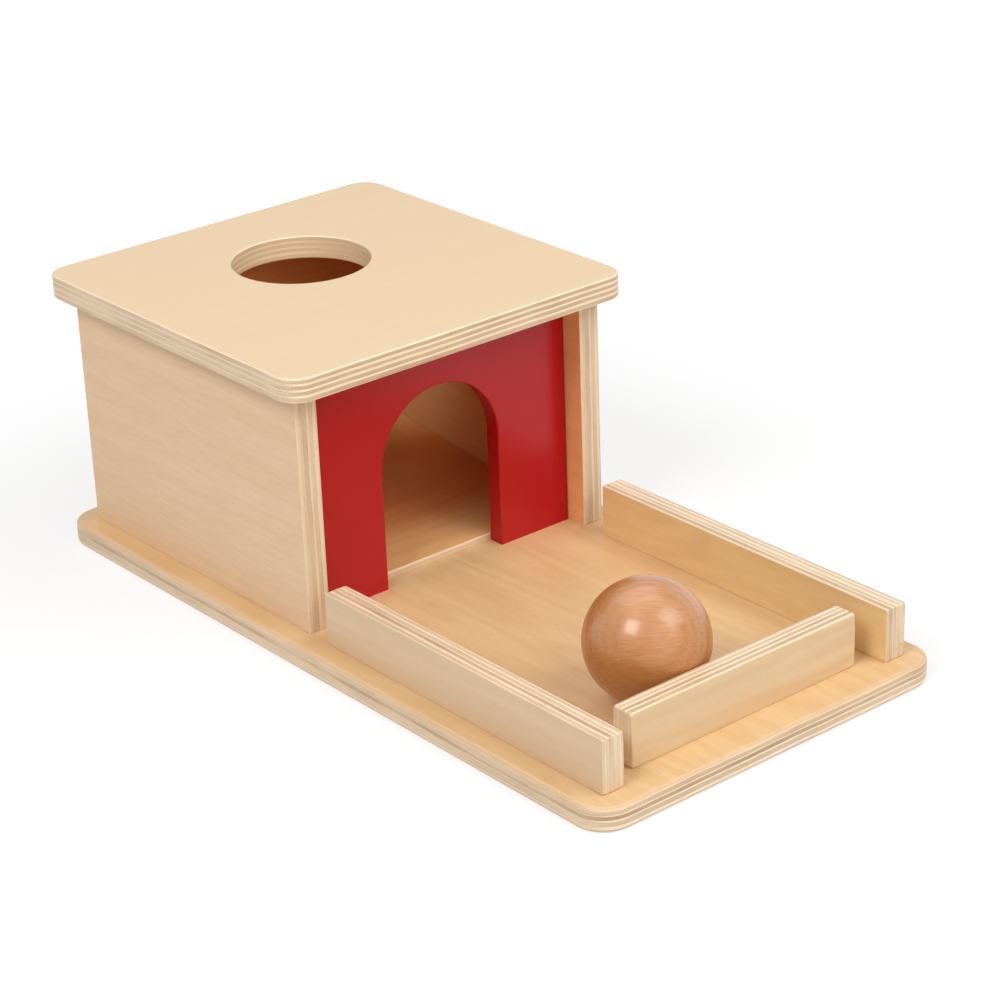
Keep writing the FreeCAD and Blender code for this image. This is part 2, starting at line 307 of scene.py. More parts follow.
def rounded_block(
    low: Vector, high: Vector, radius: float, wobble: float, seed: float, bend: int, pitch: float,
    corner: float = 0.0,
) -> list[np.ndarray]:
    """The six sides of a block whose edges were rounded by hand.

    Each point q of the plain block is drawn onto c + r * (q - c) / |q - c|, where c is the
    nearest point of the block that lies r further in. The radius r wanders along the
    edges, and at a distance d from the nearest of the eight corners it grows by the share
    corner * exp(-(d / (CORNER_REACH * radius)) ** 2), as it does under sandpaper.

    Args:
        low: The block's lowest corner.
        high: Its highest corner.
        radius: The usual radius of its edges.
        wobble: Share of the radius by which it wanders.
        seed: What sets one block's wander apart from another's.
        bend: Facets in half a rounding.
        pitch: The widest gap between grid lines.
        corner: Share by which the radius grows at the block's corners.

    Returns:
        Six grids of points.
    """
    ends = np.array([low, high])
    reach = radius * (1 + wobble + corner)
    steps = [edge_steps(low[k], high[k], reach, bend, pitch) for k in range(3)]
    grids = []
    for k in range(3):
        across, along = [j for j in range(3) if j != k]
        for end in ends[:, k]:
            first, second = np.meshgrid(steps[across], steps[along], indexing="ij")
            q = np.empty(first.shape + (3,))
            q[..., across], q[..., along], q[..., k] = first, second, end
            off = np.linalg.norm(np.minimum(np.abs(q - ends[0]), np.abs(q - ends[1])), axis=-1)
            grown = corner * np.exp(-((off / (CORNER_REACH * radius)) ** 2))
            r = radius * (1 + wobble * wave(q, WANDER_LENGTH, seed) + grown)[..., None]
            r = np.minimum(r, (ends[1] - ends[0]).min() / 2)
            c = np.minimum(np.maximum(q, ends[0] + r), ends[1] - r)
            away = q - c
            grids.append(c + r * away / np.linalg.norm(away, axis=-1, keepdims=True))
    return grids


def board_section(
    thickness: float, inner_round: float, outer_round: float, bend: int, steps: int
) -> np.ndarray:
    """Half of a board's cross-section, from an inner outline to an outer one.

    It climbs the inner wall's rounding, crosses the high face and goes down the outer
    wall's rounding. A rounding of radius r lies r * (1 - cos a) inside its wall and
    r * (1 - sin a) below the face, for angles a from 0 to 90 degrees.

    Args:
        thickness: The board's thickness.
        inner_round: Radius of the edge round the inner outline.
        outer_round: Radius of the edge round the outer outline.
        bend: Facets in one rounding.
        steps: Strips across the face.

    Returns:
        Rows of share of the way across, inner inset, outer inset and depth under the face.
    """
    angle = np.linspace(0, math.pi / 2, bend + 1)
    away, under = 1 - np.cos(angle), 1 - np.sin(angle)
    full = np.ones(bend + 1)
    climb = np.stack([0 * full, inner_round * away, outer_round * full, inner_round * under], 1)
    share = np.linspace(0, 1, steps + 1)[1:-1]
    flat = np.ones(share.size)
    cross = np.stack([share, inner_round * flat, outer_round * flat, 0 * flat], 1)
    descend = np.stack([full, inner_round * full, outer_round * away, outer_round * under], 1)
    half = np.vstack([climb, cross, descend[::-1]])
    half[:, 3] = np.minimum(half[:, 3], thickness / 2)
    return half


def ringed_board(
    inner: Callable[[float], np.ndarray], outer: Callable[[float], np.ndarray],
    section: np.ndarray, span: tuple[float, float], upright: Axis,
) -> np.ndarray:
    """Carry a board's section along its inner and outer outlines together.

    A point is (1 - share) * inner(inset) + share * outer(inset), at its depth under one
    face on the way out and at the same depth over the other face on the way back.

    Args:
        inner: Gives the inner outline, widened by an inset, as points in the plane.
        outer: Gives the outer outline, drawn in by an inset, with as many points.
        section: Rows from board_section.
        span: Where the board's two faces lie.
        upright: The axis that goes through the board.

    Returns:
        A grid with the outlines along its rows and the section along its columns.
    """
    columns = [
        (1 - share) * inner(widened) + share * outer(drawn_in)
        for share, widened, drawn_in, _ in section
    ]
    plane = np.stack(columns + columns[::-1], axis=1)
    depth = section[:, 3]
    level = np.concatenate([span[1] - depth, (span[0] + depth)[::-1]])
    grid = np.empty(plane.shape[:2] + (3,))
    level_axis = upright.value
    grid[..., [axis for axis in range(3) if axis != level_axis]] = plane
    grid[..., level_axis] = level
    return grid


def foot(grid: np.ndarray, row: int) -> np.ndarray:
    """Close one end of an open ringed board with quads from face to face."""
    half = grid.shape[1] // 2
    return np.stack([grid[row, :half], grid[row, half:][::-1]], axis=1)


def rounded_outline(
    low: np.ndarray, high: np.ndarray, radius: float, inset: float, bend: int, pitch: float
) -> np.ndarray:
    """Walk once round a rectangle with round corners, drawn in by an inset.

    A corner is centre + (radius - inset) * (cos a, sin a) over a quarter turn. Between
    two corners the walk is straight, in steps of about a pitch.

    Args:
        low: The rectangle's lowest corner.
        high: Its highest corner.
        radius: Radius of its corners.
        inset: How far inside the rectangle the walk goes.
        bend: Steps in one corner.
        pitch: Length of a straight step.

    Returns:
        Points in the plane, counterclockwise from the right side.
    """
    ends = np.stack([low + radius, high - radius])
    arcs, sides = [], []
    for turn, (across, along) in enumerate(((1, 1), (0, 1), (0, 0), (1, 0))):
        angle = np.linspace(turn, turn + 1, bend + 1)[:, None] * math.pi / 2
        centre = np.array([ends[across, 0], ends[along, 1]])
        arcs.append(centre + (radius - inset) * np.hstack([np.cos(angle), np.sin(angle)]))
    for turn in range(4):
        start, end = arcs[turn][-1], arcs[(turn + 1) % 4][0]
        count = max(1, round(float(ends[1, turn % 2] - ends[0, turn % 2]) / pitch))
        sides.append(start + np.linspace(0, 1, count + 1)[1:-1, None] * (end - start))
    return np.vstack([part for pair in zip(arcs, sides, strict=True) for part in pair])


@dataclass(frozen=True)
class Face:
    """One face veneer: its two tones, and how strongly each part of its grain shows."""

    pale: str
    dark: str
    streak: float = 0.7
    band: float = 0.6
    figure: float = 0.1
    fleck: float = 0.15


@dataclass(frozen=True)
class Lay:
    """How a plywood board's veneers lie.

    The grain of the face veneers runs along one axis and that of every second veneer
    across it. Each veneer has a thickness and a tone from 0, pale, to 1, dark, and they
    are given from the board's low side up. The tilt turns them about X. Sanded tells how
    much of the painted edge colour the rounded edges take, a pale painted highlight that
    is partly sanded bare wood or a darker painted shade, glue_seen how dark the glue lines
    get, end_seen how much of the veneers shows where the board's grain ends, and the
    painted shade band where across the board a reddish painted shade starts, is full,
    begins to fade and ends.
    """

    grain: Axis
    cross: Axis
    depth: Axis
    veneers: tuple[tuple[float, float], ...]
    seed: int
    low_face: Face
    high_face: Face
    tilt: float = 0.0
    # share and colour of the painted edge colour: a pale painted highlight, partly sanded wood, or a
    # darker painted shade
    sanded: float = 0.2
    painted_rim: str = "#FFF1DC"
    glue_seen: float = 0.75
    end_seen: float = 1.0
    painted_shade_band: tuple[float, float, float, float] | None = None


@dataclass(frozen=True)
class Plywood:
    """Birch plywood, sanded and sealed with one thin coat of matt lacquer.

    Rotary-cut veneers give pale faces with fine streaks and a faint wide figure. On the
    edges, veneers that run along the edge show pale and smooth, and those that point
    out of it show darker end grain with fine pores. The rounded edges round each face
    take a painted edge colour: mostly a pale painted highlight, which is partly sanded
    bare wood, and on some boards a darker painted shade over the lit rounding. The wall
    of a routed hole is warm and even.
    """

    name: str = "birch_plywood"
    edge_pale: str = "#F4DEBD"
    edge_dark: str = "#C19B78"
    end_shade: str = "#F3EFEA"
    glue: str = "#7C5338"
    fleck: str = "#A67548"
    knot: str = "#8C5A30"
    painted_shade_tint: str = "#F0BE93"
    # reddish painted shade, laid as a band across the ramp
    routed: str = "#FADBAE"
    routed_share: float = 0.5
    noises: tuple[tuple[str, float, float, float], ...] = (
        ("streak", 14.0, 0.65, 3.0),  # mm along the fibres, mm across them, and detail
        ("band", 110.0, 6.0, 2.0),
        ("figure", 190.0, 24.0, 1.5),
        ("pore", 5.5, 0.36, 1.0),
        ("knot", 3.5, 1.8, 1.0),
    )
    noise_roughness: float = 0.55
    figure_turns: float = 52.0
    pore_range: tuple[float, float] = (0.6, 0.74)  # of a noise, from none to full
    end_pore_range: tuple[float, float] = (0.55, 0.75)
    end_pore: float = 0.22
    knot_range: tuple[float, float] = (0.77, 0.83)
    knot_strength: float = 0.5
    # how ragged the edges of the band of painted shade are
    painted_shade_ragged_mm: float = 24.0
    edge_streak: float = 0.7
    wander_mm: float = 0.3  # of a glue line, over the next length
    wander_length_mm: float = 45.0
    wander_range: tuple[float, float] = (0.25, 0.75)
    drift_mm: tuple[float, float, float] = (30.0, 30.0, 1 / 57)  # of tones and glue lines
    tone_range: tuple[float, float] = (0.3, 0.7)
    tone_share: tuple[float, float] = (0.6, 1.15)
    glue_range: tuple[float, float] = (0.44, 0.62)
    glue_least: float = 0.04
    cut_range: tuple[float, float] = (0.2, 0.85)  # of a normal's square, from none to full
    skin_range: tuple[float, float] = (0.3, 0.8)
    # where on a rounding the painted edge highlight or painted edge shade comes in
    painted_rim_range: tuple[float, float] = (0.1, 0.23)
    blend_mm: float = 0.15
    glue_mm: float = 0.18
    ior: float = 1.5
    roughness: float = 0.44
    roughness_swing: float = 0.06
    dull_range: tuple[float, float] = (0.2, 0.8)  # of the streaks, from dull to smooth
    veneer_shift: tuple[float, float, float] = (911.0, 373.0, 137.0)  # of the pattern
    board_shift: tuple[float, float, float] = (197.0, 83.0, 31.0)
    coat: float = 0.12
    coat_roughness: float = 0.3
    grain_height_mm: float = 0.02

    def material(self, node: str, lay: Lay) -> Material:
        """Make the material of one board.

        Args:
            node: The CAD node whose corner the veneers are counted from.
            lay: How the board's veneers lie.

        Returns:
            The board's own material.
        """
        material = new_material(f"{self.name}_{node}")
        tree = material.node_tree
        coordinates = add(tree, "TexCoord", {}).node
        turn = Euler((lay.tilt, 0, 0))
        corner = turn.to_matrix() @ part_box(node)[0] / MM
        place = add(tree, "Mapping", {
            "Vector": coordinates.outputs["Object"], "Location": -corner, "Rotation": turn,
            "Scale": (1 / MM,) * 3,
        })
        place = add(tree, "SeparateXYZ", {0: place}).node.outputs
        facing = add(tree, "SeparateXYZ", {0: coordinates.outputs["Normal"]}).node.outputs
        axes = (lay.grain.value, lay.cross.value, lay.depth.value)
        along, across, depth = [place[axis] for axis in axes]
        end_on, side_on, face_on = [
            add(tree, "Math", {0: facing[axis], 1: facing[axis]}, operation="MULTIPLY")
            for axis in axes
        ]
        crossed, number, tone, glue, upper = self.veneers(tree, lay, (along, across, depth))
        seen = add(tree, "MapRange", {0: end_on, 3: 1.0, 4: lay.end_seen})
        tone, glue = [
            add(tree, "Math", {0: strength, 1: seen}, operation="MULTIPLY")
            for strength in (tone, glue)
        ]
        fibre = self.fibre(tree, lay, (along, across, depth), crossed, number)
        cut = add(tree, "Mix", {"Factor": crossed, "A": end_on, "B": side_on})
        cut, skin = [
            add(tree, "MapRange", {0: square, 1: none, 2: full}, interpolation_type="SMOOTHSTEP")
            for square, (none, full) in ((cut, self.cut_range), (face_on, self.skin_range))
        ]
        grain = self.grain(tree, fibre)
        face = self.face_colour(tree, lay, grain, upper, across)
        edge = self.edge_colour(tree, grain, cut, tone, glue)
        colour = add(tree, "Mix", {"Factor": skin, "A": edge, "B": face}, data_type="RGBA")
        # Painted highlight, or painted shade on some boards, on the rounded edges, found from the
        # normal alone.
        rest = add(tree, "Math", {0: 1.0, 1: face_on}, operation="SUBTRACT")
        painted_rim = add(tree, "Math", {0: face_on, 1: rest}, operation="MULTIPLY")
        none, full = self.painted_rim_range
        painted_rim = add(tree, "MapRange", {0: painted_rim, 1: none, 2: full, 3: 0.0, 4: lay.sanded})
        colour = add(tree, "Mix", {"Factor": painted_rim, "A": colour, "B": lay.painted_rim}, data_type="RGBA")
        (start, end), swing = self.dull_range, self.roughness_swing
        dull, smooth = self.roughness + swing, self.roughness - swing
        rough = add(tree, "MapRange", {0: grain["streak"], 1: start, 2: end, 3: dull, 4: smooth})
        height = self.grain_height_mm * MM
        bump = add(tree, "Bump", {"Height": grain["streak"], "Distance": height})
        shader = add(tree, "BsdfPrincipled", {
            "Base Color": colour, "Roughness": rough, "Normal": bump, "IOR": self.ior,
            "Coat Weight": self.coat, "Coat Roughness": self.coat_roughness,
        })
        add(tree, "OutputMaterial", {"Surface": shader})
        return material

    def veneers(
        self, tree: NodeTree, lay: Lay, place: tuple[NodeSocket, ...]
    ) -> tuple[NodeSocket, ...]:
        """Tell which veneer a point lies in, and how near it is to a glue line.

        Args:
            tree: The material's node tree.
            lay: How the board's veneers lie.
            place: Distances along, across and through the board, in millimetres.

        Returns:
            Whether the veneer runs crosswise, its number and its tone, all from 0 to 1,
            the strength of the glue line, and 1 in the board's upper half.
        """
        along, across, depth = place
        plan = add(tree, "CombineXYZ", {0: along, 1: across, 2: float(lay.seed)})
        scale, wander = 1 / self.wander_length_mm, self.wander_mm
        sway = add(tree, "TexNoise", {"Vector": plan, "Scale": scale, "Detail": 4.0})
        start, end = self.wander_range
        sway = add(tree, "MapRange", {0: sway, 1: start, 2: end, 3: -wander, 4: wander})
        depth = add(tree, "Math", {0: depth, 1: sway}, operation="ADD")
        total = sum(thick for thick, _ in lay.veneers)
        share = add(tree, "Math", {0: depth, 1: total}, operation="DIVIDE")
        starts = np.cumsum([0.0] + [thick for thick, _ in lay.veneers[:-1]]) / total
        codes, tones, lines = [], [], [(0.0, (0.0, 0.0, 0.0, 1.0))]
        blend, line = self.blend_mm / total, self.glue_mm / total
        for number, (start, (_, tone)) in enumerate(zip(starts.tolist(), lay.veneers, strict=True)):
            codes.append((start, (number % 2, number / len(starts), 0.0, 1.0)))
            if number:
                before = lay.veneers[number - 1][1]
                tones.append((start - blend, (before,) * 3 + (1.0,)))
                for step, strength in ((-line, 0.0), (0.0, 1.0), (line, 0.0)):
                    lines.append((start + step, (strength,) * 3 + (1.0,)))
            tones.append((start + blend, (tone,) * 3 + (1.0,)))
        code = add(tree, "ValToRGB", {0: share}, stops=codes)
        code.node.color_ramp.interpolation = "CONSTANT"
        crossed, number = add(tree, "SeparateColor", {0: code}).node.outputs[:2]
        drift = add(tree, "CombineXYZ", {0: along, 1: across, 2: number})
        drift = stretched_noise(tree, drift, self.drift_mm, 3.0)
        (start, end), (pale, deep) = self.tone_range, self.tone_share
        fade = add(tree, "MapRange", {0: drift, 1: start, 2: end, 3: pale, 4: deep})
        tone = add(tree, "ValToRGB", {0: share}, stops=tones)
        tone = add(tree, "Math", {0: tone, 1: fade}, operation="MULTIPLY", use_clamp=True)
        glue = add(tree, "ValToRGB", {0: share}, stops=lines)
        (start, end), least, most = self.glue_range, self.glue_least, lay.glue_seen
        seen = add(tree, "MapRange", {0: drift, 1: start, 2: end, 3: least, 4: most})
        glue = add(tree, "Math", {0: glue, 1: seen}, operation="MULTIPLY")
        upper = add(tree, "Math", {0: share, 1: 0.5}, operation="GREATER_THAN")
        return crossed, number, tone, glue, upper

    def fibre(
        self, tree: NodeTree, lay: Lay, place: tuple[NodeSocket, ...], crossed: NodeSocket,
        number: NodeSocket,
    ) -> NodeSocket:
        """Make coordinates whose first part runs along the fibres of each veneer.

        Args:
            tree: The material's node tree.
            lay: How the board's veneers lie.
            place: Distances along, across and through the board, in millimetres.
            crossed: Whether the veneer runs crosswise.
            number: The veneer's number, which moves its pattern away from the others'.

        Returns:
            The coordinates, in millimetres.
        """
        along, across, depth = place
        straight = add(tree, "CombineXYZ", {0: along, 1: across, 2: depth})
        turned = add(tree, "CombineXYZ", {0: across, 1: along, 2: depth})
        fibre = add(tree, "Mix", {"Factor": crossed, "A": straight, "B": turned}, data_type="VECTOR")
        shift = add(tree, "VectorMath", {0: number, 1: self.veneer_shift}, operation="MULTIPLY")
        fibre = add(tree, "VectorMath", {0: fibre, 1: shift}, operation="ADD")
        offset = tuple(step * lay.seed for step in self.board_shift)
        return add(tree, "VectorMath", {0: fibre, 1: offset}, operation="ADD")

    def grain(self, tree: NodeTree, fibre: NodeSocket) -> dict[str, NodeSocket]:
        """Make the noises that the wood's grain is drawn from.

        The figure is a sine of a wide noise, so its lines close into the long ovals that
        a veneer peeled off a round log shows.

        Args:
            tree: The material's node tree.
            fibre: Coordinates along the fibres, in millimetres.

        Returns:
            Streak, band, figure, pore and knot, each from about 0 to 1.
        """
        rough = self.noise_roughness
        grain = {
            name: stretched_noise(tree, fibre, (length, width, width), detail, rough)
            for name, length, width, detail in self.noises
        }
        rings = add(tree, "Math", {0: grain["figure"], 1: self.figure_turns}, operation="MULTIPLY")
        rings = add(tree, "Math", {0: rings}, operation="SINE")
        grain["figure"] = add(tree, "Math", {0: rings, 1: 0.5, 2: 0.5}, operation="MULTIPLY_ADD")
        return grain

    def face_colour(
        self, tree: NodeTree, lay: Lay, grain: dict[str, NodeSocket], upper: NodeSocket,
        across: NodeSocket,
    ) -> NodeSocket:
        """Colour the board's two faces, each with its own veneer.

        Args:
            tree: The material's node tree.
            lay: How the board's veneers lie.
            grain: The wood's noises.
            upper: 1 in the board's upper half.
            across: Distance across the board, in millimetres.

        Returns:
            The colour of both faces.
        """
        low, high = lay.low_face, lay.high_face
        shade = None
        for name in ("streak", "band", "figure"):
            weight = add(tree, "MapRange", {0: upper, 3: getattr(low, name), 4: getattr(high, name)})
            part = add(tree, "Math", {0: grain[name], 1: 0.5}, operation="SUBTRACT")
            inputs = {0: part, 1: weight, 2: 0.5 if shade is None else shade}
            shade = add(tree, "Math", inputs, operation="MULTIPLY_ADD")
        pale, dark = [
            add(tree, "Mix", {"Factor": upper, "A": a, "B": b}, data_type="RGBA")
            for a, b in ((low.pale, high.pale), (low.dark, high.dark))
        ]
        colour = add(tree, "Mix", {"Factor": shade, "A": pale, "B": dark}, data_type="RGBA")
        weight = add(tree, "MapRange", {0: upper, 3: low.fleck, 4: high.fleck})
        none, full = self.pore_range
        pores = add(tree, "MapRange", {0: grain["pore"], 1: none, 2: full, 3: 0.0, 4: 1.0})
        pores = add(tree, "Math", {0: pores, 1: weight}, operation="MULTIPLY")
        colour = add(tree, "Mix", {"Factor": pores, "A": colour, "B": self.fleck}, data_type="RGBA")
        # A reddish band of painted shade across the board, with ragged edges.
        if lay.painted_shade_band is None:
            return colour
        swing = self.painted_shade_ragged_mm
        start, full, fade, end = [distance + swing / 2 for distance in lay.painted_shade_band]
        ragged = add(tree, "Math", {0: grain["band"], 1: swing, 2: across}, operation="MULTIPLY_ADD")
        rise, fall = [
            add(tree, "MapRange", {0: ragged, 1: none, 2: whole}, interpolation_type="SMOOTHSTEP")
            for none, whole in ((start, full), (end, fade))
        ]
        painted_shade_band = add(tree, "Math", {0: rise, 1: fall}, operation="MULTIPLY")
        return add(tree, "Mix", {
            "Factor": painted_shade_band, "A": colour, "B": self.painted_shade_tint,
        }, data_type="RGBA", blend_type="MULTIPLY")

    def edge_colour(
        self, tree: NodeTree, grain: dict[str, NodeSocket], cut: NodeSocket, tone: NodeSocket,
        glue: NodeSocket,
    ) -> NodeSocket:
        """Colour the board's sawn edges, where all its veneers show.

        Args:
            tree: The material's node tree.
            grain: The wood's noises.
            cut: 0 where fibres lie in the surface and 1 where they point out of it.
            tone: The veneer's own tone, from 0 to 1.
            glue: Strength of the glue line.

        Returns:
            The colour of the edges.
        """
        part = add(tree, "Math", {0: grain["streak"], 1: 0.5}, operation="SUBTRACT")
        inputs = {0: part, 1: self.edge_streak, 2: tone}
        tone = add(tree, "Math", inputs, operation="MULTIPLY_ADD", use_clamp=True)
        colour = add(tree, "Mix", {
            "Factor": tone, "A": self.edge_pale, "B": self.edge_dark,
        }, data_type="RGBA")
        shaded = add(tree, "Mix", {
            "Factor": 1.0, "A": colour, "B": self.end_shade,
        }, data_type="RGBA", blend_type="MULTIPLY")
        colour = add(tree, "Mix", {"Factor": cut, "A": colour, "B": shaded}, data_type="RGBA")
        pores, knots = [
            add(tree, "MapRange", {0: grain[name], 1: none, 2: full, 3: 0.0, 4: strength})
            for name, (none, full), strength in (
                ("pore", self.end_pore_range, self.end_pore),
                ("knot", self.knot_range, self.knot_strength),
            )
        ]
        pores = add(tree, "Math", {0: pores, 1: cut}, operation="MULTIPLY")
        routed = add(tree, "Attribute", {}, attribute_name=ROUTED).node.outputs["Fac"]
        even = add(tree, "Math", {0: routed, 1: self.routed_share}, operation="MULTIPLY")
        for share, tint in (
            (pores, self.fleck), (knots, self.knot), (glue, self.glue), (even, self.routed),
        ):
            layer = {"Factor": share, "A": colour, "B": tint}
            colour = add(tree, "Mix", layer, data_type="RGBA")
        return colour


@dataclass(frozen=True)
class SatinPaint:
    """Red satin enamel, sprayed over sanded plywood, with a very faint orange peel."""

    name: str = "red_painted_plywood"
    colour: str = "#B80C17"
    shade: str = "#B00A16"
    ior: float = 1.42
    roughness: float = 0.27
    cloud_mm: float = 38.0
    peel_mm: float = 1.6
    peel_height_mm: float = 0.006

    def material(self) -> Material:
        """Make the paint's material.

        Returns:
            The material, the same for every painted piece.
        """
        material = new_material(self.name)
        tree = material.node_tree
        place = add(tree, "TexCoord", {}).node.outputs["Object"]
        cloud, peel = [
            add(tree, "TexNoise", {"Vector": place, "Scale": 1 / (size * MM), "Detail": 2.0})
            for size in (self.cloud_mm, self.peel_mm)
        ]
        colour = add(tree, "Mix", {
            "Factor": cloud, "A": self.colour, "B": self.shade,
        }, data_type="RGBA")
        bump = add(tree, "Bump", {"Height": peel, "Distance": self.peel_height_mm * MM})
        shader = add(tree, "BsdfPrincipled", {
            "Base Color": colour, "Roughness": self.roughness, "Normal": bump, "IOR": self.ior,
        })
        add(tree, "OutputMaterial", {"Surface": shader})
        return material


@dataclass(frozen=True)
class Beech:
    """Steamed beech, turned or sawn, under a clear lacquer.

    Growth rings give soft wide bands that close in on each other where they are seen
    edge on. Rays show as short dark dashes along the grain on the flat-sawn side, which
    is what tells beech from birch.
    """

    name: str = "beech"
    pale: str = "#C88A50"
    dark: str = "#AB6A33"
    ray: str = "#87532B"
    ring_mm: float = 3.2
    ring_weight: float = 0.09
    sway_mm: float = 5.0
    sway_size_mm: tuple[float, float, float] = (60.0, 22.0, 30.0)
    streak_mm: tuple[float, float, float] = (16.0, 0.9, 0.9)
    streak_height_mm: float = 0.002
    ray_mm: tuple[float, float, float] = (4.6, 0.42, 9.0)
    ray_range: tuple[float, float] = (0.62, 0.72)  # of a noise, from none to full
    ray_weight: float = 0.25
    ior: float = 1.5
    roughness: float = 0.42
    coat: float = 0.55
    coat_roughness: float = 0.17

    def material(self, node: str, grain: Vector, outward: Vector) -> Material:
        """Make the beech of one piece.

        Args:
            node: The CAD node that the pattern is centred on.
            grain: Direction of the fibres.
            outward: Direction across the growth rings.

        Returns:
            The piece's own material.
        """
        material = new_material(f"{self.name}_{node}")
        tree = material.node_tree
        low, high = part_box(node)
        outward = (outward - outward.project(grain)).normalized()
        turn = Matrix((grain.normalized(), outward.cross(grain).normalized(), outward))
        place = add(tree, "Mapping", {
            "Vector": add(tree, "TexCoord", {}).node.outputs["Object"],
            "Location": -(turn @ (low + high)) / 2 / MM,
            "Rotation": turn.to_euler(),
            "Scale": (1 / MM,) * 3,
        })
        sway, streak, rays = [
            stretched_noise(tree, place, sizes, detail)
            for sizes, detail in (
                (self.sway_size_mm, 2.0), (self.streak_mm, 3.0), (self.ray_mm, 0.0),
            )
        ]
        depth = add(tree, "SeparateXYZ", {0: place}).node.outputs["Z"]
        rings = add(tree, "Math", {0: sway, 1: self.sway_mm, 2: depth}, operation="MULTIPLY_ADD")
        rings = add(tree, "Math", {0: rings, 1: 2 * math.pi / self.ring_mm}, operation="MULTIPLY")
        rings = add(tree, "Math", {0: rings}, operation="SINE")
        shade = add(tree, "Math", {
            0: rings, 1: self.ring_weight, 2: streak,
        }, operation="MULTIPLY_ADD", use_clamp=True)
        colour = add(tree, "Mix", {"Factor": shade, "A": self.pale, "B": self.dark}, data_type="RGBA")
        none, full = self.ray_range
        rays = add(tree, "MapRange", {0: rays, 1: none, 2: full, 3: 0.0, 4: self.ray_weight})
        colour = add(tree, "Mix", {"Factor": rays, "A": colour, "B": self.ray}, data_type="RGBA")
        bump = add(tree, "Bump", {"Height": streak, "Distance": self.streak_height_mm * MM})
        shader = add(tree, "BsdfPrincipled", {
            "Base Color": colour, "Roughness": self.roughness, "Normal": bump, "IOR": self.ior,
            "Coat Weight": self.coat, "Coat Roughness": self.coat_roughness,
        })
        add(tree, "OutputMaterial", {"Surface": shader})
        return material


@dataclass(frozen=True)
class PlatedSteel:
    """Zinc-plated steel, as on cheap wood screws: grey, with a cloudy satin shine."""

    name: str = "zinc_plated_steel"
    pale: str = "#C9CBCC"
    dark: str = "#A6A9AC"
    cloud_mm: float = 1.5
    cloud_range: tuple[float, float] = (0.3, 0.7)  # of a noise, from smooth to dull
    roughness: tuple[float, float] = (0.26, 0.42)

    def material(self) -> Material:
        """Make the plated steel's material.

        Returns:
            The material, the same for every screw.
        """
        material = new_material(self.name)
        tree = material.node_tree
        place = add(tree, "TexCoord", {}).node.outputs["Object"]
        scale = 1 / (self.cloud_mm * MM)
        cloud = add(tree, "TexNoise", {"Vector": place, "Scale": scale, "Detail": 3.0})
        colour = add(tree, "Mix", {"Factor": cloud, "A": self.pale, "B": self.dark}, data_type="RGBA")
        (start, end), (smooth, dull) = self.cloud_range, self.roughness
        rough = add(tree, "MapRange", {0: cloud, 1: start, 2: end, 3: smooth, 4: dull})
        shader = add(tree, "BsdfPrincipled", {
            "Base Color": colour, "Metallic": 1.0, "Roughness": rough,
        })
        add(tree, "OutputMaterial", {"Surface": shader})
        return material


CREAM = Face("#F0D3AF", "#E4C09A", streak=0.6, band=0.5, figure=0.1)
# Inner faces of the box and the ramp: darker, warmer copies of the face colour, painted shade for the
# inside of the box.
DEEP_PAINTED_SHADE = Face("#E8A15E", "#D88A48", streak=0.6, band=0.6, figure=0.15)
WARM_PAINTED_SHADE = Face("#F3C087", "#E5AB6C", streak=0.7, band=0.6, figure=0.2)
END_RAIL = Face("#E5CAA3", "#D8B688", streak=0.35, band=0.9, figure=0.3, fleck=0.12)
WALL_VENEERS = ((1.7, 0.0), (1.1, 0.5), (2.0, 0.5), (1.4, 0.3), (1.6, 0.3), (1.6, 0.25), (0.6, 0.0))


